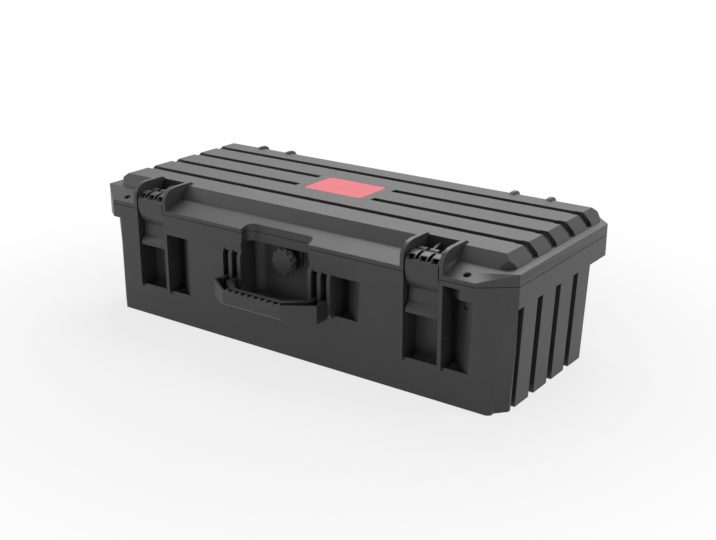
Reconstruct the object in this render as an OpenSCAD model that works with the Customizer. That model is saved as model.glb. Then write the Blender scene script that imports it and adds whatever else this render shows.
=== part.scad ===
// Hard tool case: long moulded case with a ribbed lid, two front latches,
// a folding front handle and a pressure valve. Closed, standing on its floor.
// +X is the length, -Y is the front, +Z is up. The origin is on the floor plane,
// under the middle of the closed case's bounding box.

/* [Case] */
// Length over the rim
rim_len = 560; // [540:1:600]
// Depth over the rim
rim_dep = 243; // [240:1:256]
// Height of the closing line above the floor
part_z = 132; // [130:0.5:140]
// Height of the flat lid top above the closing line
lid_rise = 26.5; // [26:0.5:34]
// Height of the collar round the mouth of the base
collar_h = 23; // [21:0.5:24]
// Gap between base and lid at the closing line
part_gap = 0.6; // [0.3:0.1:1.2]
// Thickness of the floor
floor_t = 4; // [3:0.5:6]
// Depth of the body below the collar, front to back at its top
body_dep = 211; // [207:1:214]
// How far the end walls of the body sit inside the rim
end_inset = 10; // [8:0.5:11]
// Thickness of the end walls
end_t = 5.5; // [4:0.5:7]
// Draft of the front and back walls over the height of the body
draft = 4; // [2:0.5:5]
// Draft of the end walls over the height of the body
end_draft = 5; // [3:0.5:6]
// Thickness of the front wall behind its pockets
front_t = 4; // [3:0.5:5]
// Thickness of the back wall
back_t = 4.5; // [3.5:0.5:6]

/* [Rim] */
// Corner cut of the rim along X, front
rim_cut_x = 33.6; // [26:0.2:38]
// Corner cut of the rim along Y, front
rim_cut_y = 27; // [22:0.5:30]
// Corner cut of the rim, back
rim_cut_b = 17; // [12:1:24]
// Height of the lid flange above the closing line
flange_h = 12.9; // [12:0.1:14]
// Height of the front edge of the sloping lid shelf above the closing line
shelf_h = 5; // [4:0.5:6]
// Width of the tongue round the mouth
tongue_w = 3; // [2.4:0.2:3.4]
// Height of the tongue round the mouth
tongue_h = 2; // [1.5:0.1:2.4]

/* [Ribs] */
// Number of grooves across the lid
groove_n = 4; // [4:1:4]
// Pitch of the lid grooves
groove_pitch = 41.2; // [40:0.2:42]
// Middle of the lid grooves behind the rim front
groove_mid = 139.3; // [137:0.5:141]
// Width of a lid groove
groove_w = 9.5; // [7:0.5:11]
// Depth of a lid groove
groove_d = 4.5; // [3:0.5:5]
// Pitch of the grooves in the ends of the body
end_pitch = 40; // [39:0.2:40.6]
// Width of a groove in the ends of the body
end_groove_w = 11.5; // [9:0.5:13]

/* [Latches] */
// Distance of a latch from the middle
latch_x = 185.6; // [182:0.5:192]
// Width of a latch
latch_w = 38; // [36:0.5:39]
// Clear width between the fins of a latch bay
bay_w = 41; // [40:0.5:43]
// Thickness of the fins
fin_t = 4.5; // [3.5:0.5:5]
// Distance of the latch pin behind the rim front
pin_y = 26; // [25:0.5:27]
// Height of the latch pin above the closing line
pin_z = 15; // [14.5:0.25:15.5]
// Diameter of the latch pins
latch_pin_d = 3.5; // [3:0.25:4]
// Radial clearance of a latch on its pin
latch_fit = 0.08; // [0.05:0.01:0.1]
// Diameter of the padlock holes
lock_d = 8; // [6:0.5:9]
// Distance of the padlock holes from the middle
lock_x = 232; // [228:0.5:236]
// Distance of the padlock holes behind the rim front
lock_y = 9.7; // [9:0.1:10.5]

/* [Handle] */
// Distance of the handle pins behind the rim front
pivot_y = 3; // [2.5:0.5:4]
// Height of the handle pins above the floor
pivot_z = 73; // [71:0.5:75]
// Diameter of the handle pins
grip_pin_d = 4; // [3.5:0.5:4.5]
// Radial clearance of the handle on its pins
grip_fit = 0.1; // [0.05:0.01:0.1]
// Half width over the handle
grip_half = 71.2; // [68:0.1:76]
// Half width of the straight middle of the handle
grip_flat = 40; // [36:0.5:44]
// How far the middle of the handle stands in front of the rim
grip_out = 41.1; // [38:0.1:46]
// How far the swept-back ends of the handle stand in front of the rim
grip_side = 19.2; // [17:0.1:22]
// Height of the handle's lower edge above the floor
grip_z = 59.5; // [58:0.5:61]
// Height of the handle without its teeth
grip_h = 20.2; // [19:0.1:21]
// Thickness of the handle's cheeks
cheek_t = 5.2; // [4:0.1:6]
// Thickness of the fins that carry the handle
ft = 4.9; // [4:0.1:6]
// Width of the slots between those fins
slot_w = 7.7; // [7:0.1:8.5]
// Number of finger notches
notch_n = 9; // [6:1:10]

/* [Hinges] */
// Distance of the hinge axis behind the rim back
hinge_out = 6; // [5.8:0.1:7]
// Height of the hinge axis above the closing line
hinge_up = 2; // [1:0.5:3]
// Radius of the hinge knuckles
hinge_r = 5.5; // [5:0.1:5.5]
// Diameter of the hinge pins
hinge_pin_d = 4; // [3:0.5:5]
// Radial clearance of the lid knuckle on its pin
hinge_fit = 0.08; // [0.05:0.01:0.1]
// Half width of a lid knuckle
knuckle_h = 10; // [8:0.5:12]

/* [Valve] */
// Height of the valve above the floor
valve_z = 105; // [102:0.5:106]
// Diameter of the valve knob
knob_d = 29.5; // [26:0.5:30]
// How far the knob stands out from its pad
knob_len = 15.5; // [13:0.5:18]
// Thickness of the pad on the wall behind the valve
pad_t = 2.5; // [1.5:0.5:3]
// Diameter of the valve stem through the wall
stem_d = 16; // [14:0.5:18]
// Diameter of the knob's spindle
spindle_d = 8; // [6:0.5:10]
// Radial clearance of the knob's spindle
knob_fit = 0.1; // [0.05:0.01:0.1]

/* [Label] */
// Length of the label plate
label_l = 80; // [60:1:90]
// Depth of the label plate
label_w = 54; // [46:1:58]
// Thickness of the label plate
label_t = 0.8; // [0.5:0.1:1.2]

/* [Hidden] */
$fn = 48;
half = rim_len / 2;
top_z = part_z + lid_rise;
lid_z = part_z + part_gap;
flange_z = part_z + flange_h;
hinge_y = rim_dep + hinge_out;
hinge_z = part_z + hinge_up;
back_out = hinge_out + hinge_r;
yf = -(rim_dep + back_out - grip_out) / 2;
end_x = half - end_inset;
cav_x = end_x - end_t;
body_y = 1;
end_y = 38.4;
body_back = body_y + body_dep;
cav_back = body_back - draft - back_t;
pocket_y = 28;
room_y = 24.5;
low_y = body_y + draft + 4.5;
corner_x = end_x - 34;
low_left = corner_x - 10;
low_right = end_x - 26;
slot_y = 26;
wall_y = 30;
cav_y = wall_y + front_t;
collar_z = part_z - collar_h;
pocket_z = 38;
step_z = pocket_z - 10;
slot_z = grip_z + 2.5;
bay_z = slot_z - 4;
bay_top = part_z - 10.5;
pull_z = part_z - 43.5;
lock_z = collar_z + 5.7;
edge_rise = 7.3;
fin_in = bay_w / 2;
fin_out = fin_in + fin_t;
latch_z = part_z + pin_z;
label_x = -8;
label_gap = label_l / 2 + 12.8;
f3 = grip_half + 0.5;
f2 = f3 - slot_w - ft;
f1 = f2 - slot_w - ft;
wall_in = 14.5;
catch_y = 10.9;
rib_pitch = 43;
rib_t = 3;
valve_y = wall_y - pad_t;
steel = [0.62, 0.64, 0.66];
plastic = [0.16, 0.16, 0.17];

// ---- profiles laid out along an axis; local y = 0 is the rim's front face ----

// a shape drawn in (y, z), from x = a to x = b
module along_x(a, b) {
  translate([a, 0, 0])
    rotate([90, 0, 90]) linear_extrude(b - a) children();
}

// a shape drawn in (x, z), from y = a to y = b
module along_y(a, b) {
  translate([0, b, 0])
    rotate([90, 0, 0]) linear_extrude(b - a) children();
}

module rim_plan() {
  polygon([[-half + rim_cut_x, 0], [half - rim_cut_x, 0],
    [half, rim_cut_y], [half, rim_dep - rim_cut_b],
    [half - rim_cut_b, rim_dep], [-half + rim_cut_b, rim_dep],
    [-half, rim_dep - rim_cut_b], [-half, rim_cut_y]]);
}

module box(x0, x1, y0, y1, z0, z1) {
  translate([x0, y0, z0]) cube([x1 - x0, y1 - y0, z1 - z0]);
}

module rod_x(x0, x1, y, z, d) {
  translate([x0, y, z])
    rotate([0, 90, 0]) cylinder(h = x1 - x0, d = d);
}

module rod_y(y0, y1, x, z, d) {
  translate([x, y0, z])
    rotate([-90, 0, 0]) cylinder(h = y1 - y0, d = d);
}

// plan of a wall pocket: deep beside a fin, running out flush away from it
module pocket_plan() {
  polygon([[-0.01, -6], [-0.01, pocket_y - 2.5], [3, pocket_y - 3.5], [14, 15],
    [24, 7], [33, 1.8], [40, 0.4], [40, -6]]);
}

// side view of a pocket from z0 to z1: its floor falls to the back, and its
// roof climbs to the front by rise
module pocket_side(z0, z1, rise) {
  polygon([[-6, z1 + rise * (pocket_y + 6) / pocket_y], [-6, z0 + 3],
    [1.5, z0 + 2], [19, z0 - 4], [24, z0 - 1.5], [pocket_y, z0 + 1],
    [pocket_y, z1]]);
}

module pocket(z0, z1, rise) {
  intersection() {
    translate([0, 0, z0 - 8]) linear_extrude(z1 - z0 + 24) pocket_plan();
    along_x(-1, 46) pocket_side(z0, z1, rise);
  }
}

// plan of a bay open to the front, with rounded inner corners
module bay_plan(w, d, r) {
  translate([-w + r, -1]) square([2 * (w - r), d + 1]);
  translate([-w, -1]) square([2 * w, d + 1 - r]);
  for (s = [-1, 1]) translate([s * (w - r), d - r]) circle(r);
}

// ---- base ----

module body_core() {
  intersection() {
    along_x(-half, half)
      polygon([[body_y, part_z], [body_y, collar_z], [body_y + draft, 0],
        [body_back - draft, 0], [body_back, collar_z], [body_back, part_z]]);
    along_y(-10, rim_dep)
      polygon([[-end_x, part_z], [-end_x, collar_z], [-end_x + end_draft, 0],
        [end_x - end_draft, 0], [end_x, collar_z], [end_x, part_z]]);
    linear_extrude(part_z)
      polygon([[-corner_x, body_y], [end_x - 2, body_y], [end_x, 3.7],
        [end_x, body_back - 12], [end_x - 12, body_back],
        [-end_x + 12, body_back], [-end_x, body_back - 12], [-end_x, 31]]);
  }
}

// raised end ribs, flush with the rim at the collar
module end_ribs() {
  intersection() {
    along_y(-10, rim_dep)
      polygon([[-half, part_z], [-half, collar_z], [-half + end_draft, 0],
        [half - end_draft, 0], [half, collar_z], [half, part_z]]);
    union() {
      for (s = [-1, 1], k = [0:3])
        box(s > 0 ? end_x - end_draft - 3 : -half - 1,
          s > 0 ? half + 1 : -end_x + end_draft + 3,
          end_y + k * end_pitch, end_y + (k + 1) * end_pitch - end_groove_w,
          0, collar_z + 1);
      // the corner strip beside the front
      linear_extrude(collar_z + 1)
        polygon([[end_x - 8, 10], [half - 9, 20.6], [half - 1.5, 29.2],
          [end_x - 8, 29.2]]);
    }
  }
}

// the right front corner is cut flush with the collar and leans out to the floor
module corner_cut() {
  translate([half - rim_cut_x, 0, 0])
    rotate([0, 0, atan2(rim_cut_y, rim_cut_x)]) along_x(-30, 60)
      polygon([[0.6, part_z + 1], [0.6, collar_z], [-5.3, -1], [-40, -1],
        [-40, part_z + 1]]);
}

module collar() {
  difference() {
    translate([0, 0, collar_z]) linear_extrude(collar_h) rim_plan();
    // the collar's lower edge climbs towards the front at the corners
    for (s = [-1, 1])
      scale_x(s) along_x(latch_x + fin_out + 3.5, half + 1)
        polygon([[-1, collar_z - 1], [-1, collar_z + edge_rise],
          [rim_cut_y, collar_z], [rim_cut_y, collar_z - 1]]);
    rear_hollows(collar_z - 1, part_z - 5);
  }
}

// pockets between the stiffening ribs of the rear overhang
module rear_hollows(z0, z1) {
  for (k = [-6:5])
    box(k * rib_pitch + rib_t / 2, (k + 1) * rib_pitch - rib_t / 2,
      body_back + 4, rim_dep - 4, z0, z1);
}

// plain finger room under a latch
module finger_room() {
  intersection() {
    box(-fin_in, fin_in, -6, room_y, pocket_z - 8, pull_z + 0.01);
    along_x(-fin_in - 1, fin_in + 1) pocket_side(pocket_z, part_z, 0);
  }
}

module front_cuts() {
  for (s = [-1, 1]) {
    translate([s * latch_x, 0, 0]) {
      box(-fin_in, fin_in, -1, wall_in, pull_z, part_z + 1);
      finger_room();
    }
    // slots between the handle fins
    scale_x(s) box(f1, f3 + ft, -1, slot_y, slot_z, collar_z);
  }
  // each pocket opens to the right of its fin, so the openings beside it stay plain
  translate([fin_out - latch_x, 0, 0]) pocket(pocket_z, collar_z, 0);
  translate([f3 + ft + 0.3, 0, 0]) pocket(slot_z, collar_z, 0);
  // the outer pocket runs up to the climbing edge of the collar
  translate([latch_x + fin_out, 0, 0]) pocket(pocket_z, collar_z, edge_rise);
  translate([latch_x + fin_out, 0, collar_z - 1]) linear_extrude(19)
    polygon([[-0.01, -6], [-0.01, 18], [2, 17.4], [17, 2], [22, -0.01], [22, -6]]);
  // bay behind the handle
  translate([0, 0, bay_z]) linear_extrude(bay_top - bay_z) bay_plan(f1 + 1, wall_y, 12);
  // notch in the rim over the bay
  translate([0, 0, collar_z]) linear_extrude(collar_h + 1) bay_plan(f1 - 0.5, 14, 9);
}

module scale_x(s) {
  if (s > 0) children();
  else mirror([1, 0, 0]) children();
}

module latch_fins() {
  for (s = [-1, 1], m = [-1, 1])
    translate([s * latch_x + m * (fin_in + fin_t / 2), 0, 0])
      along_x(-fin_t / 2, fin_t / 2)
        polygon([[0, part_z], [0, pocket_z + 4], [body_y, pocket_z - 2],
          [pocket_y + 1, pocket_z - 2], [pocket_y + 1, part_z]]);
}

// the ledge that the latch hooks under
module catches() {
  for (s = [-1, 1])
    along_x(s * latch_x - fin_in - 1, s * latch_x + fin_in + 1)
      polygon([[catch_y, part_z - 14], [wall_in + 1, part_z - 15.8],
        [wall_in + 1, part_z - 6], [wall_in, part_z - 6],
        [catch_y, part_z - 9]]);
}

module handle_fins() {
  for (s = [-1, 1], f = [f1, f2, f3])
    scale_x(s) along_x(f, f + ft)
      polygon([[0, collar_z + 3], [-3, collar_z - 3], [-3, slot_z + 4], [0.5, slot_z - 1],
        [slot_y + 1, slot_z - 1], [slot_y + 1, collar_z + 3]]);
}

module hinge_lugs() {
  for (s = [-1, 1], m = [-1, 1])
    translate([s * latch_x + m * (knuckle_h + 0.4 + 4.5), 0, 0]) {
      along_x(-4.5, 4.5)
        polygon([[rim_dep - 3, collar_z + 1], [rim_dep, collar_z + 1],
          [hinge_y + hinge_r - 1, hinge_z - 12], [hinge_y + hinge_r, hinge_z - 9],
          [hinge_y + hinge_r, hinge_z], [hinge_y - hinge_r, hinge_z],
          [rim_dep, part_z - 1], [rim_dep - 3, part_z - 1]]);
      rod_x(-4.5, 4.5, hinge_y, hinge_z, 2 * hinge_r);
    }
}

// the inside: drafted ends, stepped forward below the front pockets
module base_cavity() {
  intersection() {
    along_y(0, rim_dep)
      polygon([[-cav_x, part_z + 1], [-cav_x, collar_z],
        [-cav_x + end_draft, floor_t], [cav_x - end_draft, floor_t],
        [cav_x, collar_z], [cav_x, part_z + 1]]);
    union() {
      box(-half, half, cav_y, cav_back, step_z, part_z + 1);
      translate([0, 0, floor_t]) linear_extrude(step_z + 1 - floor_t)
        polygon([[-low_left, low_y], [low_right, low_y], [cav_x - 1, cav_y - 8],
          [half, cav_back], [-half, cav_back], [-cav_x, cav_y + 6]]);
      // between the latch pockets the step is as high as the handle bay allows
      box(fin_out + 48 - latch_x, latch_x - fin_out - 48, low_y, cav_y + 1,
        step_z, bay_z - 7);
    }
  }
}

module ring_plan(w, grow) {
  difference() {
    polygon([[-cav_x - 5 - grow, cav_y - 7.5 - grow], [cav_x + 5 + grow, cav_y - 7.5 - grow],
      [cav_x + 5 + grow, cav_back + 5 + grow], [-cav_x - 5 - grow, cav_back + 5 + grow]]);
    polygon([[-cav_x - 5 + w + grow, cav_y - 7.5 + w + grow],
      [cav_x + 5 - w - grow, cav_y - 7.5 + w + grow],
      [cav_x + 5 - w - grow, cav_back + 5 - w - grow],
      [-cav_x - 5 + w + grow, cav_back + 5 - w - grow]]);
  }
}

module base_shell() {
  color(plastic) translate([0, yf, 0]) difference() {
    union() {
      difference() {
        union() {
          difference() {
            union() {
              body_core();
              end_ribs();
            }
            corner_cut();
          }
          collar();
        }
        front_cuts();
        base_cavity();
      }
      valve_pad();
      latch_fins();
      catches();
      handle_fins();
      hinge_lugs();
      translate([0, 0, part_z - 1]) linear_extrude(tongue_h + 1)
        ring_plan(tongue_w, 0);
      // small pips on the right faces of the latch fins
      for (s = [-1, 1], m = [-1, 1])
        rod_x(s * latch_x + (m > 0 ? fin_out - 0.5 : -fin_in - 0.5),
          s * latch_x + (m > 0 ? fin_out + 1.5 : -fin_in + 1.5), 10, 69, 4);
    }
    for (s = [-1, 1]) {
      translate([s * lock_x, lock_y, lock_z - 1])
        cylinder(h = collar_h + 10, d = lock_d);
      // room for the shackle in the ramp below
      translate([s * lock_x, lock_y, lock_z - 11])
        cylinder(h = 11, d = lock_d + 1);
      rod_x(s * latch_x - 30, s * latch_x + 30, hinge_y, hinge_z, hinge_pin_d);
      scale_x(s) rod_x(f1 - 1, f3 + ft + 1, pivot_y, pivot_z, grip_pin_d);
    }
    rod_y(valve_y - 1, cav_y + 1, 0, valve_z, stem_d);
  }
}

// raised pad on the wall of the handle bay, round below the valve
module valve_pad() {
  rod_y(valve_y, wall_y + 1, 0, valve_z, knob_d + 3.5);
  box(-knob_d / 2 - 1.75, knob_d / 2 + 1.75, valve_y, wall_y + 1, valve_z, bay_top + 0.1);
}

// ---- lid ----

module raised_lid() {
  intersection() {
    along_x(-half, half)
      polygon([[28, lid_z], [28, flange_z], [30, flange_z + 4.6],
        [39, top_z], [rim_dep - 13, top_z], [rim_dep - 4, flange_z + 4.6],
        [rim_dep - 2, flange_z], [rim_dep - 2, lid_z]]);
    along_y(0, rim_dep)
      polygon([[-half + 10, lid_z], [-half + 10, flange_z],
        [-half + 12, flange_z + 4.6], [-half + 21.4, top_z],
        [half - 21.4, top_z], [half - 12, flange_z + 4.6],
        [half - 10, flange_z], [half - 10, lid_z]]);
    translate([0, 0, lid_z]) linear_extrude(60)
      polygon([[-half + 24, 28], [half - 24, 28], [half - 10, 40],
        [half - 10, rim_dep - 14], [half - 24, rim_dep - 2],
        [-half + 24, rim_dep - 2], [-half + 10, rim_dep - 14],
        [-half + 10, 40]]);
  }
}

module flange() {
  difference() {
    translate([0, 0, lid_z]) linear_extrude(flange_z - lid_z) rim_plan();
    // front shelf slopes down to the front edge
    along_x(-half - 1, half + 1)
      polygon([[-1, part_z + shelf_h], [0, part_z + shelf_h],
        [27.5, flange_z + 0.1], [27.5, flange_z + 20], [-1, flange_z + 20]]);
  }
}

module lid_grooves() {
  for (k = [0:groove_n - 1]) {
    y = groove_mid + (k - (groove_n - 1) / 2) * groove_pitch;
    mid = k == 1 || k == 2;
    for (s = [-1, 1])
      box(s > 0 ? (mid ? label_x + label_gap : 0) : -half,
        s > 0 ? half : (mid ? label_x - label_gap : 1),
        y - groove_w / 2, y + groove_w / 2, top_z - groove_d, top_z + 5);
    // the grooves run down over both end slopes
    for (s = [-1, 1])
      scale_x(s) along_y(y - groove_w / 2 - 1.5, y + groove_w / 2 + 1.5)
        polygon([[half - 30, top_z - groove_d + 0.6], [half - 30, top_z + 9],
          [half + 5, top_z + 9], [half + 5, flange_z], [half - 15.1, flange_z],
          [half - 15.1, flange_z + 1.3], [half - 23.6, top_z - groove_d + 0.6]]);
  }
}

module lid_cavity() {
  difference() {
    union() {
      box(-cav_x, cav_x, cav_y, cav_back, lid_z - 1, flange_z - 4);
      box(-half + 28, half - 28, cav_y, cav_back, lid_z, top_z - groove_d - 4);
      // hollow ribs between the grooves
      for (k = [0:groove_n - 1]) {
        y0 = groove_mid + (k - 2.5) * groove_pitch + groove_w / 2 + 3;
        y1 = y0 + groove_pitch - groove_w - 6;
        if (k != 2) for (s = [-1, 1])
          box(s > 0 ? 0 : -half + 28, s > 0 ? half - 28 : 1,
            max(y0, cav_y + 10), y1, lid_z, top_z - 4);
      }
    }
    for (s = [-1, 1])
      box(s * latch_x - fin_out - 3, s * latch_x + fin_out + 3, 0, 52,
        lid_z - 2, top_z);
  }
  rear_hollows(lid_z - 1, flange_z - 3);
}

module ear_plan() {
  polygon([[0, lid_z], [0, part_z + 15], [1.2, part_z + 20], [4.5, part_z + 24.5],
    [9, part_z + 27.6], [14, part_z + 29], [20, part_z + 29.5],
    [44, part_z + 29.5], [49, top_z - 0.2], [49, part_z + 5], [52, lid_z]]);
}

module web_plan() {
  polygon([[17.5, part_z + 5], [17.5, part_z + 15], [20, part_z + 16.5],
    [36, part_z + 17.5], [48, part_z + 21], [48, part_z + 5]]);
}

module rear_ear_plan() {
  polygon([[222, part_z + 20], [222, top_z - 0.3], [226, top_z + 2.4],
    [235, top_z + 2.4], [239, top_z + 0.2], [242, part_z + 22],
    [rim_dep, part_z + 16], [rim_dep, lid_z], [238, lid_z]]);
}

module lid_shell() {
  color(plastic) translate([0, yf, 0]) difference() {
    union() {
      difference() {
        union() {
          flange();
          raised_lid();
        }
        lid_grooves();
        lid_cavity();
        // latch recesses
        for (s = [-1, 1]) {
          box(s * latch_x - fin_in, s * latch_x + fin_in, -1, 47,
            part_z + 7, top_z + 5);
          box(s * latch_x - fin_in, s * latch_x + fin_in, -1, 6,
            lid_z - 1, top_z + 5);
        }
        // notch over the handle bay
        translate([0, 0, lid_z - 1]) linear_extrude(60) bay_plan(f1 - 0.5, 14, 9);
        // bed of the label plate
        box(label_x - label_l / 2 - 0.2, label_x + label_l / 2 + 0.2,
          groove_mid - label_w / 2 - 0.2, groove_mid + label_w / 2 + 0.2,
          top_z - 0.9, top_z + 1);
      }
      for (s = [-1, 1]) translate([s * latch_x, 0, 0]) {
        for (m = [-1, 1])
          translate([m * (fin_in + fin_t / 2), 0, 0]) {
            along_x(-fin_t / 2, fin_t / 2) ear_plan();
            along_x(-fin_t / 2, fin_t / 2) rear_ear_plan();
          }
        for (m = [-1, 1])
          along_x(m * 7 - 1.5, m * 7 + 1.5) web_plan();
        // hinge knuckle
        rod_x(-knuckle_h, knuckle_h, hinge_y, hinge_z, 2 * hinge_r);
        along_x(-knuckle_h, knuckle_h)
          polygon([[rim_dep - 3, hinge_z + 1], [rim_dep - 0.2, hinge_z],
            [hinge_y, hinge_z], [hinge_y + 3, hinge_z + 4.6],
            [rim_dep, part_z + 18], [rim_dep - 3, part_z + 18]]);
      }
    }
    // groove for the sealing ring
    translate([0, 0, lid_z - 1]) linear_extrude(5) ring_plan(tongue_w, 0.5);
    for (s = [-1, 1]) {
      rod_x(s * latch_x - fin_out + 1.5, s * latch_x + fin_out - 1.5,
        pin_y, latch_z, latch_pin_d);
      rod_x(s * latch_x - knuckle_h - 1, s * latch_x + knuckle_h + 1,
        hinge_y, hinge_z, hinge_pin_d + 2 * hinge_fit);
      translate([s * lock_x, lock_y, lid_z - 1]) cylinder(h = 40, d = lock_d);
    }
  }
}

module lid_gasket() {
  color([0.1, 0.1, 0.1]) translate([0, yf, part_z + tongue_h + 0.1])
    linear_extrude(4 + part_gap - tongue_h - 0.15) ring_plan(tongue_w, 0.45);
}

module label_plate() {
  color([0.72, 0.1, 0.14])
    translate([label_x, yf + groove_mid, top_z - 0.9]) linear_extrude(label_t) {
      square([label_l, label_w - 8], center = true);
      square([label_l - 8, label_w], center = true);
      for (a = [-1, 1], b = [-1, 1])
        translate([a * (label_l / 2 - 4), b * (label_w / 2 - 4)]) circle(4);
    }
}

// ---- latches ----

module latch_body() {
  difference() {
    union() {
      along_x(-latch_w / 2, latch_w / 2)
        polygon([[1.7, part_z + 14.5], [0.6, part_z + 10], [0.5, part_z + 6],
          [0.9, part_z], [2.4, part_z - 6.5], [4.8, part_z - 12.2],
          [8.6, part_z - 16.8], [9.3, part_z - 19], [8.6, part_z - 24],
          [8.3, part_z - 31.5], [5, part_z - 35], [2.3, part_z - 38.5],
          [2, part_z - 42.8], [5.2, part_z - 42.8], [5.6, part_z - 39.8],
          [8.4, part_z - 36.8], [10.4, part_z - 33], [10.4, part_z - 22],
          [13.2, part_z - 20.5], [13.2, part_z - 16.2], [9.2, part_z - 14.4],
          [7.4, part_z - 11], [5.6, part_z - 5.5], [4.4, part_z + 1],
          [4.3, part_z + 10], [5.5, part_z + 14.5]]);
      for (k = [-1:1]) translate([k * (latch_w / 2 - 5), 0, 0]) {
        along_x(-5, 5)
          polygon([[1.7, part_z + 14], [4, part_z + 17], [8, part_z + 19.2],
            [13, part_z + 20], [17.5, part_z + 19.8], [19.3, part_z + 18],
            [pin_y - 4, latch_z + 3], [pin_y, latch_z], [pin_y, latch_z - 5],
            [12, part_z + 11], [4.3, part_z + 9]]);
        rod_x(-5, 5, pin_y, latch_z, 10);
      }
    }
    rod_x(-latch_w, latch_w, pin_y, latch_z, latch_pin_d + 2 * latch_fit);
    // a window in the front of each knuckle
    for (k = [-1:1])
      box(k * (latch_w / 2 - 5) - 3.6, k * (latch_w / 2 - 5) + 3.6, -1, 12,
        part_z + 13.8, part_z + 18.2);
  }
}

module latch_left() {
  color(plastic) translate([-latch_x, yf, 0]) latch_body();
}

module latch_right() {
  color(plastic) translate([latch_x, yf, 0]) latch_body();
}

module latch_pin(s) {
  color(steel) translate([0, yf, 0])
    rod_x(s * latch_x - fin_out + 1.5, s * latch_x + fin_out - 1.5,
      pin_y, latch_z, latch_pin_d);
}

module latch_pin_left() {
  latch_pin(-1);
}

module latch_pin_right() {
  latch_pin(1);
}

module hinge_pin(s) {
  color(steel) translate([0, yf, 0])
    rod_x(s * latch_x - knuckle_h - 9.4, s * latch_x + knuckle_h + 9.4,
      hinge_y, hinge_z, hinge_pin_d);
}

module hinge_pin_left() {
  hinge_pin(-1);
}

module hinge_pin_right() {
  hinge_pin(1);
}

// ---- handle ----

// plan of a bow: half width a of its straight middle, b over its ends,
// standing out to front in the middle and to side at the ends
module bow_plan(a, b, front, side, back) {
  polygon([[-b, back], [-b, -side], [-a, -front], [a, -front], [b, -side], [b, back]]);
}

module cheek(a) {
  along_x(a, a + cheek_t)
    polygon([[pivot_y, pivot_z + 6.5], [-10, grip_z + grip_h - 0.6], [-12, grip_z + 0.5],
      [-4.4, grip_z], [-1, grip_z + 1.8], [1.8, slot_z + 0.6],
      [pivot_y, pivot_z - 6.5]]);
  rod_x(a, a + cheek_t, pivot_y, pivot_z, 13);
}

// the grip: a bow that is open on top, its back edge cut off above the fins
module grip() {
  top = grip_z + grip_h;
  skin = 2.2;
  sweep = (grip_out - grip_side) / (grip_half - grip_flat);
  difference() {
    intersection() {
      linear_extrude(top + 1) difference() {
        bow_plan(grip_flat, grip_half, grip_out, grip_side, -4.4);
        bow_plan(grip_flat - 7, f1 + ft + 0.6, grip_out - 13.6, 9, 1);
      }
      along_x(-grip_half, grip_half)
        polygon([[-4.4, grip_z], [-grip_side, grip_z], [-grip_out + 1.6, grip_z + 3.9],
          [-grip_out, grip_z + 5.5], [-grip_out, top - 0.8], [-grip_out + 0.8, top],
          [-12.6, top], [-4.4, top - 8.2]]);
    }
    // the channel runs on into a basin between the cheeks
    translate([0, 0, grip_z + 7.5]) linear_extrude(grip_h) difference() {
      bow_plan(grip_flat - 0.7, grip_half - skin, grip_out - skin,
        grip_side - skin + 0.7 * sweep, -6.5);
      bow_plan(grip_flat - 5.5, f1 + ft + 0.6 + cheek_t, grip_out - 7.6,
        grip_side - 4.5, 1);
    }
  }
}

// saw teeth along the front edge make the finger notches
module grip_teeth() {
  pitch = 2 * grip_flat / notch_n;
  top = grip_z + grip_h;
  for (k = [0:notch_n - 1])
    translate([-grip_flat + k * pitch, 0, 0])
      along_y(-grip_out, -grip_out + 2.2)
        polygon([[0.8, top - 1], [0.8, top - 0.8], [pitch - 1, top + 3.3],
          [pitch, top + 3.3], [pitch, top - 1]]);
}

module handle() {
  color(plastic) translate([0, yf, 0]) difference() {
    union() {
      grip();
      grip_teeth();
      for (s = [-1, 1]) scale_x(s) {
        cheek(f1 + ft + 0.6);
        cheek(grip_half - cheek_t);
      }
    }
    for (s = [-1, 1])
      scale_x(s) rod_x(f1, f3 + ft, pivot_y, pivot_z, grip_pin_d + 2 * grip_fit);
  }
}

module handle_pin(s) {
  color(steel) translate([0, yf, 0])
    scale_x(s) rod_x(f1, f3 + ft, pivot_y, pivot_z, grip_pin_d);
}

module handle_pin_left() {
  handle_pin(-1);
}

module handle_pin_right() {
  handle_pin(1);
}

// ---- valve ----

module valve_body() {
  color(plastic) translate([0, yf, 0]) difference() {
    union() {
      rod_y(valve_y - 3, valve_y, 0, valve_z, knob_d - 1);
      rod_y(valve_y - 1, valve_y + 14, 0, valve_z, stem_d);
    }
    rod_y(valve_y - 4, valve_y + 8, 0, valve_z, spindle_d + 2 * knob_fit);
    rod_y(valve_y + 7, valve_y + 12, 0, valve_z, 4);
    rod_y(valve_y + 11.4, valve_y + 15, 0, valve_z, 12);
    // seat of the seal ring
    difference() {
      rod_y(valve_y - 1.3, valve_y + 1, 0, valve_z, 23.2);
      rod_y(valve_y - 1.4, valve_y + 2, 0, valve_z, 19);
    }
  }
}

module valve_knob() {
  color(plastic) translate([0, yf, 0]) difference() {
    union() {
      rod_y(valve_y - knob_len + 1, valve_y - 7, 0, valve_z, knob_d);
      rod_y(valve_y - knob_len, valve_y - knob_len + 2, 0, valve_z, knob_d - 4);
      rod_y(valve_y - 8, valve_y - 3.4, 0, valve_z, knob_d - 7);
      rod_y(valve_y - 5, valve_y + 6, 0, valve_z, spindle_d);
    }
    // scallops round the rim
    for (k = [0:9])
      translate([0, 0, valve_z]) rotate([0, k * 36 + 18, 0])
        rod_y(valve_y - knob_len - 1, valve_y - 8.5, knob_d / 2 + 0.8, 0, 6);
  }
}

module valve_seal_ring() {
  color([0.08, 0.08, 0.08]) translate([0, yf, 0]) difference() {
    rod_y(valve_y - 1.25, valve_y - 0.02, 0, valve_z, 23);
    rod_y(valve_y - 2, valve_y + 1, 0, valve_z, 19.2);
  }
}

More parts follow.
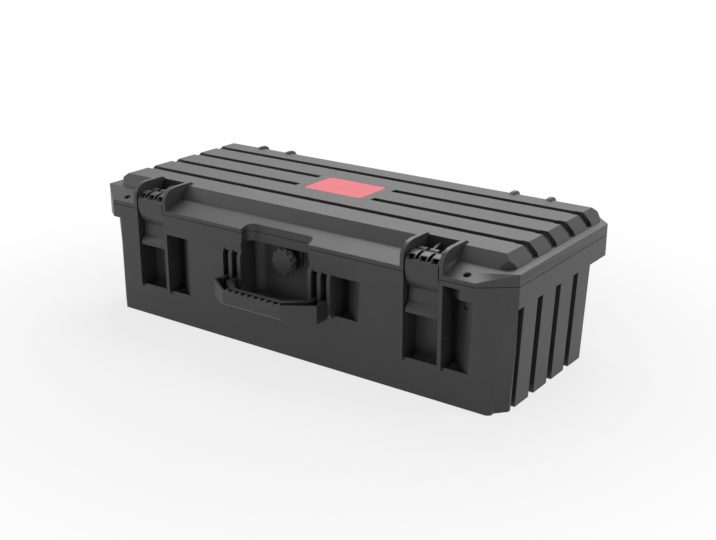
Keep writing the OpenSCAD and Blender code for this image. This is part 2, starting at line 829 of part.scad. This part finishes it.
module valve_lock_nut() {
  color(plastic) translate([0, yf, 0]) difference() {
    translate([0, cav_y + 6, valve_z])
      rotate([90, 30, 0]) linear_extrude(5.9) circle(d = 27, $fn = 6);
    rod_y(cav_y - 1, cav_y + 7, 0, valve_z, stem_d + 0.04);
  }
}

module valve_membrane() {
  color([0.9, 0.9, 0.9]) translate([0, yf, 0])
    rod_y(valve_y + 11.45, valve_y + 11.95, 0, valve_z, 11.9);
}

base_shell();
lid_shell();
lid_gasket();
label_plate();
latch_left();
latch_right();
latch_pin_left();
latch_pin_right();
hinge_pin_left();
hinge_pin_right();
handle();
handle_pin_left();
handle_pin_right();
valve_body();
valve_knob();
valve_seal_ring();
valve_lock_nut();
valve_membrane();
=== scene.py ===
"""Hard tool case with a ribbed lid, two draw latches, a folding handle and a pressure valve.

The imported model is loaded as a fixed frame. Each moulding is dressed by a copy of its own
solid with rounded edges, and each finish is a procedural material in real millimetres.
"""

import logging
import math
from dataclasses import dataclass

import bmesh
import bpy
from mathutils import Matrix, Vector

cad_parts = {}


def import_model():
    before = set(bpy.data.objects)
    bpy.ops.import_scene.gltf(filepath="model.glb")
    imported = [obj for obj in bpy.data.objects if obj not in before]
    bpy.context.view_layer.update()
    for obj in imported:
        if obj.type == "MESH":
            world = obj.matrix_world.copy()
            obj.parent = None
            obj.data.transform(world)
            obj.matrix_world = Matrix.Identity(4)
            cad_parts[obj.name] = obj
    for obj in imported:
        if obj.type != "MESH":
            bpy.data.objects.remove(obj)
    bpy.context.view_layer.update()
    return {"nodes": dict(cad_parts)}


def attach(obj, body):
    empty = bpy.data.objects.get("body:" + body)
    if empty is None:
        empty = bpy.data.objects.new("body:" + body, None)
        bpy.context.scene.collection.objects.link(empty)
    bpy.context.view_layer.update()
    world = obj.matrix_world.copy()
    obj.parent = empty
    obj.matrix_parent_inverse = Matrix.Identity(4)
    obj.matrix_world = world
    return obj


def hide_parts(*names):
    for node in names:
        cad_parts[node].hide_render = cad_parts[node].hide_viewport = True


LOG = logging.getLogger("tool_case")

MM = 0.001

# the colour mix node keeps its two colours and its result at these places
MIX_FIRST, MIX_SECOND, MIX_RESULT = 6, 7, 2

WHITE = (1.0, 1.0, 1.0, 1.0)

Colour = tuple[float, float, float, float]
Span = tuple[float, float]


def linear(hex_colour: str) -> Colour:
    """Turn an sRGB hex colour into linear light.

    Args:
        hex_colour: Six hex digits, with or without a leading hash.

    Returns:
        Red, green, blue and an alpha of 1, each from 0 to 1.
    """
    digits = hex_colour.lstrip("#")
    parts = [int(digits[i : i + 2], 16) / 255 for i in (0, 2, 4)]
    light = [c / 12.92 if c <= 0.04045 else ((c + 0.055) / 1.055) ** 2.4 for c in parts]
    return light[0], light[1], light[2], 1.0


def per_mm(size_mm: float) -> float:
    """Give the pattern scale at which one repeat is about this many millimetres."""
    return 1 / (size_mm * MM)


def add_node(
    tree: bpy.types.NodeTree, kind: str, links: dict | None = None, **settings
) -> bpy.types.Node:
    """Add one shader node with its settings and links.

    Args:
        tree: The material's node tree.
        kind: The node's type name.
        links: Input name or index to a value, or to an output socket.
        **settings: Attributes of the node itself.

    Returns:
        The new node.
    """
    node = tree.nodes.new(kind)
    for name, value in settings.items():
        setattr(node, name, value)
    for name, value in (links or {}).items():
        if isinstance(value, bpy.types.NodeSocket):
            tree.links.new(value, node.inputs[name])
        else:
            node.inputs[name].default_value = value
    return node


def blank_material(name: str) -> bpy.types.Material:
    """Make a material with an empty node tree."""
    made = bpy.data.materials.new(name)
    made.use_nodes = True
    made.node_tree.nodes.clear()
    return made


def object_place(tree: bpy.types.NodeTree) -> bpy.types.NodeSocket:
    """Give the place on the object, in metres."""
    return add_node(tree, "ShaderNodeTexCoord").outputs["Object"]


def remap(
    tree: bpy.types.NodeTree,
    value: bpy.types.NodeSocket,
    span: Span = (0.0, 1.0),
    result: Span = (0.0, 1.0),
    **settings,
) -> bpy.types.NodeSocket:
    """Carry a value from one span to another.

    Args:
        tree: The node tree.
        value: The socket to carry over.
        span: The values at which the result starts and ends.
        result: What the result is at those two values.
        **settings: Attributes of the node itself.

    Returns:
        The socket with the result.
    """
    links = {
        "Value": value,
        "From Min": span[0],
        "From Max": span[1],
        "To Min": result[0],
        "To Max": result[1],
    }
    return add_node(tree, "ShaderNodeMapRange", links, **settings).outputs["Result"]


def mix_colours(
    tree: bpy.types.NodeTree,
    factor: bpy.types.NodeSocket,
    first: Colour | bpy.types.NodeSocket,
    second: Colour | bpy.types.NodeSocket,
) -> bpy.types.NodeSocket:
    """Blend two colours.

    Args:
        tree: The node tree.
        factor: The share of the second colour.
        first: The colour at 0.
        second: The colour at 1.

    Returns:
        The socket with the blended colour.
    """
    links = {"Factor": factor, MIX_FIRST: first, MIX_SECOND: second}
    return add_node(tree, "ShaderNodeMix", links, data_type="RGBA").outputs[MIX_RESULT]


def calculate(
    tree: bpy.types.NodeTree,
    operation: str,
    first: bpy.types.NodeSocket,
    second: bpy.types.NodeSocket,
) -> bpy.types.NodeSocket:
    """Work out one sum of two values and give its socket."""
    links = {0: first, 1: second}
    return add_node(tree, "ShaderNodeMath", links, operation=operation).outputs["Value"]


def seen_ray(tree: bpy.types.NodeTree) -> bpy.types.NodeSocket:
    """Tell the rays by which a surface is seen, straight, mirrored or through, from its light.

    Args:
        tree: The node tree that asks.

    Returns:
        A socket that gives 1 for such a ray and 0 for any other.
    """
    path = add_node(tree, "ShaderNodeLightPath").outputs
    mirrored = calculate(tree, "MAXIMUM", path["Is Camera Ray"], path["Is Glossy Ray"])
    return calculate(tree, "MAXIMUM", mirrored, path["Is Transmission Ray"])


@dataclass(frozen=True)
class MouldedPlastic:
    """Polypropylene or ABS from a mould, dark through and through.

    A spark-eroded mould leaves a fine even grain that breaks up highlights, and handling
    leaves faint paler patches.
    """

    name: str
    colour: str
    worn_colour: str
    # near-black colour painted into recesses as shade
    painted_shade_colour: str
    roughness: float = 0.46
    refraction: float = 1.49
    # grit of the eroded mould: about 0.3 mm on the real one, drawn coarser so it shows
    grain_mm: float = 0.9
    grain_depth_mm: float = 0.05
    grain_strength: float = 0.6
    # handling lightens the skin a little in broad, soft patches
    patch_mm: float = 70.0
    patch_span: Span = (0.42, 0.72)
    patch_most: float = 0.55
    # the patches also make the gloss uneven
    gloss_span: Span = (0.3, 0.7)
    gloss_change: Span = (-0.04, 0.06)
    # painted shade: the colour darkens to the near-black shade colour in tight slots and
    # recesses, where walls stand within this reach
    painted_shade_reach_mm: float = 12.0
    painted_shade_span: Span = (0.15, 0.62)

    def material(self) -> bpy.types.Material:
        """Build the node tree and return the material."""
        made = blank_material(self.name)
        tree = made.node_tree
        place = object_place(tree)
        patches = add_node(
            tree,
            "ShaderNodeTexNoise",
            {"Vector": place, "Scale": per_mm(self.patch_mm), "Detail": 4.0, "Roughness": 0.6},
        ).outputs["Fac"]
        low, high = self.gloss_change
        gloss = remap(
            tree, patches, self.gloss_span, (self.roughness + low, self.roughness + high)
        )
        shader = add_node(
            tree,
            "ShaderNodeBsdfPrincipled",
            {
                "Base Color": self._colour(tree, patches),
                "Roughness": gloss,
                "Normal": self._grain(tree, place),
                "IOR": self.refraction,
            },
        )
        add_node(tree, "ShaderNodeOutputMaterial", {"Surface": shader.outputs["BSDF"]})
        return made

    def _colour(
        self, tree: bpy.types.NodeTree, patches: bpy.types.NodeSocket
    ) -> bpy.types.NodeSocket:
        """Give the colour with its worn patches, and painted shade in tight slots and recesses.

        Args:
            tree: The material's node tree.
            patches: The broad noise that places the worn patches.

        Returns:
            The socket with the colour.
        """
        worn = remap(tree, patches, self.patch_span, (0.0, self.patch_most))
        skin = mix_colours(tree, worn, linear(self.colour), linear(self.worn_colour))
        # painted shade: ambient occlusion darkens the colour where recesses hold shade
        shade_occlusion = add_node(
            tree,
            "ShaderNodeAmbientOcclusion",
            {"Distance": self.painted_shade_reach_mm * MM},
            samples=8,
            only_local=False,
        )
        shade = remap(tree, shade_occlusion.outputs["AO"], self.painted_shade_span)
        return mix_colours(tree, shade, linear(self.painted_shade_colour), skin)

    def _grain(
        self, tree: bpy.types.NodeTree, place: bpy.types.NodeSocket
    ) -> bpy.types.NodeSocket:
        """Give the normal with the mould's fine grain.

        Args:
            tree: The material's node tree.
            place: The place on the object.

        Returns:
            The socket with the normal.
        """
        grain = add_node(
            tree,
            "ShaderNodeTexNoise",
            {"Vector": place, "Scale": per_mm(self.grain_mm), "Detail": 2.0, "Roughness": 0.55},
        )
        relief = add_node(
            tree,
            "ShaderNodeBump",
            {
                "Height": grain.outputs["Fac"],
                "Distance": self.grain_depth_mm * MM,
                "Strength": self.grain_strength,
            },
        )
        return relief.outputs["Normal"]


@dataclass(frozen=True)
class GroundSteel:
    """Stainless rod, centreless ground: bright, with fine rings round the rod."""

    name: str = "ground_steel"
    colour: str = "#a9acb0"
    ring_mm: float = 0.6
    waves_per_unit: float = 20.0
    roughness: Span = (0.26, 0.38)

    def material(self) -> bpy.types.Material:
        """Build the node tree and return the material."""
        made = blank_material(self.name)
        tree = made.node_tree
        rings = add_node(
            tree,
            "ShaderNodeTexWave",
            {
                "Vector": object_place(tree),
                "Scale": per_mm(self.ring_mm) / self.waves_per_unit,
                "Distortion": 1.5,
            },
            bands_direction="X",
        )
        shader = add_node(
            tree,
            "ShaderNodeBsdfPrincipled",
            {
                "Base Color": linear(self.colour),
                "Roughness": remap(tree, rings.outputs["Fac"], result=self.roughness),
                "Metallic": 1.0,
            },
        )
        add_node(tree, "ShaderNodeOutputMaterial", {"Surface": shader.outputs["BSDF"]})
        return made


@dataclass(frozen=True)
class PlainSkin:
    """A skin with a faint cloudiness: matte rubber, membrane felt or satin label vinyl."""

    name: str
    colour: str
    cloudy_colour: str
    roughness: float
    cloud_mm: float = 6.0
    relief_mm: float = 0.02
    relief_strength: float = 0.5

    def material(self) -> bpy.types.Material:
        """Build the node tree and return the material."""
        made = blank_material(self.name)
        tree = made.node_tree
        cloud = add_node(
            tree,
            "ShaderNodeTexNoise",
            {"Vector": object_place(tree), "Scale": per_mm(self.cloud_mm), "Detail": 3.0},
        ).outputs["Fac"]
        relief = add_node(
            tree,
            "ShaderNodeBump",
            {
                "Height": cloud,
                "Distance": self.relief_mm * MM,
                "Strength": self.relief_strength,
            },
        )
        shader = add_node(
            tree,
            "ShaderNodeBsdfPrincipled",
            {
                "Base Color": mix_colours(
                    tree, cloud, linear(self.colour), linear(self.cloudy_colour)
                ),
                "Roughness": self.roughness,
                "Normal": relief.outputs["Normal"],
            },
        )
        add_node(tree, "ShaderNodeOutputMaterial", {"Surface": shader.outputs["BSDF"]})
        return made


# the two shells: polypropylene with a fine, rather matte mould grain, and near-black painted
# shade in recesses
SHELL_PLASTIC = MouldedPlastic(
    "polypropylene_shell", colour="#343436", worn_colour="#404042", painted_shade_colour="#0c0c0d"
)
# the fittings: glass-filled plastic, a little smoother and darker than the shells, with
# near-black painted shade in recesses
FITTING_PLASTIC = MouldedPlastic(
    "glass_filled_fitting",
    colour="#323234",
    worn_colour="#3d3d3f",
    painted_shade_colour="#0b0b0c",
    roughness=0.4,
    grain_mm=0.7,
    patch_mm=30.0,
)
# the pins: ground stainless rod
STEEL = GroundSteel()
# the lid's and the valve's seals: black rubber, matte
SEAL_RUBBER = PlainSkin("seal_rubber", "#17171a", "#1f1f21", roughness=0.75)
# the bare plate on the lid: red vinyl, satin
LABEL_FOIL = PlainSkin(
    "label_vinyl", "#e0404f", "#e54c5a", roughness=0.42, cloud_mm=25.0, relief_mm=0.01
)
# the valve's breathing membrane: white felt, quite matte
MEMBRANE_FELT = PlainSkin("membrane_felt", "#e2e2df", "#f0f0ee", roughness=0.9, cloud_mm=0.5)


def paint(piece: bpy.types.Object, material: bpy.types.Material) -> None:
    """Give a piece one material and nothing else."""
    piece.data.materials.clear()
    piece.data.materials.append(material)


@dataclass
class Moulding:
    """A moulded piece: its own solid again, with the edges eased as a mould leaves them."""

    node: str
    body: str
    slot: str
    edge_mm: float = 0.6
    eased_deg: float = 28.0
    segments: int = 2
    merge_mm: float = 0.002
    flat_deg: float = 0.6
    shading_deg: float = 40.0
    # an edge shorter than this many widths, or a narrower face, stays sharp
    least_length: float = 2.2
    least_face: float = 1.6

    def build(self, nodes: dict, material: bpy.types.Material) -> bpy.types.Object:
        """Copy the solid, ease its edges and put it on its body.

        Args:
            nodes: The frame's CAD objects by name.
            material: The finish of the piece.

        Returns:
            The finished object.
        """
        shape = bmesh.new()
        shape.from_mesh(nodes[self.node].data)
        bmesh.ops.remove_doubles(shape, verts=shape.verts, dist=self.merge_mm * MM)
        bmesh.ops.dissolve_limit(
            shape,
            angle_limit=math.radians(self.flat_deg),
            use_dissolve_boundaries=False,
            verts=shape.verts,
            edges=shape.edges,
        )
        self._ease(shape)
        for face in shape.faces:
            face.smooth = True
        mesh = bpy.data.meshes.new(f"{self.node}_moulding")
        shape.to_mesh(mesh)
        shape.free()
        mesh.set_sharp_from_angle(angle=math.radians(self.shading_deg))
        piece = bpy.data.objects.new(f"{self.node}_moulding", mesh)
        bpy.context.scene.collection.objects.link(piece)
        paint(piece, material)
        # broad flat faces keep their own normals, so only the eased edges look round
        evened = piece.modifiers.new("evened_normals", "WEIGHTED_NORMAL")
        evened.keep_sharp = True
        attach(piece, self.body)
        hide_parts(self.node)
        LOG.info("%s: %d faces on %s", piece.name, len(mesh.polygons), self.body)
        return piece

    def _ease(self, shape: bmesh.types.BMesh) -> None:
        """Round the outer and inner corners that have room for it.

        Args:
            shape: The merged mesh, changed in place.
        """
        width = self.edge_mm * MM
        limit = math.radians(self.eased_deg)
        corners = [
            edge
            for edge in shape.edges
            if edge.is_manifold
            and edge.calc_face_angle(0.0) > limit
            and edge.calc_length() > self.least_length * width
            and all(self._roomy(face, width) for face in edge.link_faces)
        ]
        bmesh.ops.bevel(
            shape,
            geom=corners,
            offset=width,
            offset_type="OFFSET",
            segments=self.segments,
            profile=0.5,
            affect="EDGES",
            material=-1,
            clamp_overlap=True,
        )

    def _roomy(self, face: bmesh.types.BMFace, width: float) -> bool:
        """Say whether a face is wide enough to lose an edge's width on each side."""
        edge_sum = sum(edge.calc_length() for edge in face.edges)
        return face.calc_area() > self.least_face * width * edge_sum / 2


@dataclass
class CaseShells:
    """The base and the lid with the seal between them."""

    pieces: tuple[Moulding, ...] = (
        Moulding("base_shell", "base", "shell", edge_mm=0.8),
        Moulding("lid_shell", "lid", "shell", edge_mm=0.8),
    )

    def build(self, nodes: dict) -> None:
        """Dress both shells and the seal."""
        skin = SHELL_PLASTIC.material()
        for moulding in self.pieces:
            moulding.build(nodes, skin)
        paint(nodes["lid_gasket"], SEAL_RUBBER.material())


@dataclass
class Fittings:
    """Latches, handle and valve in the harder satin plastic, with their pins and seals."""

    pieces: tuple[Moulding, ...] = (
        Moulding("latch_left", "latch_left", "fittings", edge_mm=0.5),
        Moulding("latch_right", "latch_right", "fittings", edge_mm=0.5),
        Moulding("handle", "handle", "fittings", edge_mm=0.6),
        Moulding("valve_knob", "valve_knob", "fittings", edge_mm=0.5),
    )
    plain: tuple[str, ...] = ("valve_body", "valve_lock_nut")
    pins: tuple[str, ...] = (
        "latch_pin_left",
        "latch_pin_right",
        "hinge_pin_left",
        "hinge_pin_right",
        "handle_pin_left",
        "handle_pin_right",
    )

    def build(self, nodes: dict) -> None:
        """Dress every fitting and its pins."""
        skin = FITTING_PLASTIC.material()
        for moulding in self.pieces:
            moulding.build(nodes, skin)
        for node in self.plain:
            paint(nodes[node], skin)
        steel = STEEL.material()
        for node in self.pins:
            paint(nodes[node], steel)
        paint(nodes["valve_seal_ring"], SEAL_RUBBER.material())
        paint(nodes["valve_membrane"], MEMBRANE_FELT.material())


@dataclass
class Label:
    """The bare red plate in the middle of the lid."""

    def build(self, nodes: dict) -> None:
        """Dress the label plate."""
        paint(nodes["label_plate"], LABEL_FOIL.material())


@dataclass(frozen=True)
class Softbox:
    """A square lamp that looks at the case. Sizes in metres, power in watts."""

    name: str
    place: tuple[float, float, float]
    size: float
    power: float
    aim: tuple[float, float, float] = (0.0, 0.0, 0.08)

    def build(self) -> None:
        """Hang the lamp."""
        lamp = bpy.data.lights.new(self.name, "AREA")
        lamp.size = self.size
        lamp.energy = self.power
        holder = bpy.data.objects.new(self.name, lamp)
        place = Vector(self.place)
        holder.location = place
        holder.rotation_euler = (Vector(self.aim) - place).to_track_quat("-Z", "Y").to_euler()
        bpy.context.scene.collection.objects.link(holder)


@dataclass
class Studio:
    """Pale floor, soft light and the camera at the photograph's angle."""

    lens_mm: float = 57.37
    sensor_mm: float = 36.0
    camera_at: tuple[float, float, float] = (0.7455, -0.9941, 0.5130)
    azimuth_deg: float = 35.6
    elevation_deg: float = 19.7
    floor_half: float = 6.0
    floor_z: float = -0.0005
    floor_colour: str = "#fafafa"
    # distance from the middle at which the floor turns plain white, and how white it is near
    floor_span: Span = (0.25, 0.65)
    floor_white: Span = (0.75, 1.0)
    # strength of the surround as light, and where it is seen
    surround: Span = (0.3, 1.0)
    lamps: tuple[Softbox, ...] = (
        Softbox("back_softbox", (-0.55, 1.15, 1.75), 1.5, 29.0),
        Softbox("end_softbox", (2.1, 0.9, 1.1), 1.3, 12.0),
        Softbox("left_edge", (-2.2, -0.5, 0.9), 1.0, 9.0),
        Softbox("front_fill", (0.3, -2.4, 1.3), 1.6, 4.0),
    )

    def build(self) -> None:
        """Make the floor, the lamps, the world and the camera."""
        self._floor()
        for lamp in self.lamps:
            lamp.build()
        self._world()
        self._camera()

    def _floor(self) -> None:
        """Lay a plain floor that shows white and keeps the case's shadow."""
        shape = bmesh.new()
        bmesh.ops.create_grid(shape, x_segments=1, y_segments=1, size=self.floor_half)
        bmesh.ops.translate(shape, verts=shape.verts, vec=(0, 0, self.floor_z))
        mesh = bpy.data.meshes.new("floor")
        shape.to_mesh(mesh)
        shape.free()
        floor = bpy.data.objects.new("floor", mesh)
        bpy.context.scene.collection.objects.link(floor)
        paint(floor, self._floor_material())

    def _floor_material(self) -> bpy.types.Material:
        """Mix lit paper, which holds the shadow near the case, with plain white farther out."""
        made = blank_material("pale_floor")
        tree = made.node_tree
        away = add_node(
            tree, "ShaderNodeVectorMath", {0: object_place(tree)}, operation="LENGTH"
        ).outputs["Value"]
        far = remap(
            tree, away, self.floor_span, self.floor_white, interpolation_type="SMOOTHSTEP"
        )
        lit = add_node(
            tree,
            "ShaderNodeBsdfDiffuse",
            {"Color": linear(self.floor_colour), "Roughness": 0.9},
        )
        white = add_node(tree, "ShaderNodeEmission", {"Color": WHITE, "Strength": 1.0})
        mixed = add_node(
            tree,
            "ShaderNodeMixShader",
            {
                0: calculate(tree, "MULTIPLY", seen_ray(tree), far),
                1: lit.outputs["BSDF"],
                2: white.outputs["Emission"],
            },
        )
        add_node(tree, "ShaderNodeOutputMaterial", {"Surface": mixed.outputs["Shader"]})
        return made

    def _world(self) -> None:
        """Give an even white surround, brighter where it is seen than as light."""
        world = bpy.data.worlds.new("studio")
        world.use_nodes = True
        tree = world.node_tree
        tree.nodes.clear()
        glow = add_node(
            tree,
            "ShaderNodeBackground",
            {"Color": WHITE, "Strength": remap(tree, seen_ray(tree), result=self.surround)},
        )
        add_node(tree, "ShaderNodeOutputWorld", {"Surface": glow.outputs["Background"]})
        bpy.context.scene.world = world

    def _camera(self) -> None:
        """Stand the camera where the photograph was taken from."""
        lens = bpy.data.cameras.new("camera")
        lens.lens = self.lens_mm
        lens.sensor_width = self.sensor_mm
        holder = bpy.data.objects.new("camera", lens)
        holder.location = self.camera_at
        holder.rotation_euler = (
            math.radians(90 - self.elevation_deg),
            0,
            math.radians(self.azimuth_deg),
        )
        bpy.context.scene.collection.objects.link(holder)
        bpy.context.scene.camera = holder


def corners(box: tuple[Vector, Vector]) -> list[list[float]]:
    return [list(box[0]), list(box[1])]


def main() -> None:
    """Load the frame, dress each sub-assembly and set the studio."""
    logging.basicConfig(level=logging.INFO, format="%(name)s %(message)s")
    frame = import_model()
    bpy.context.scene.view_settings.view_transform = "Standard"
    for part in (CaseShells(), Fittings(), Label()):
        part.build(frame["nodes"])
    Studio().build()


if __name__ == "__main__":
    main()
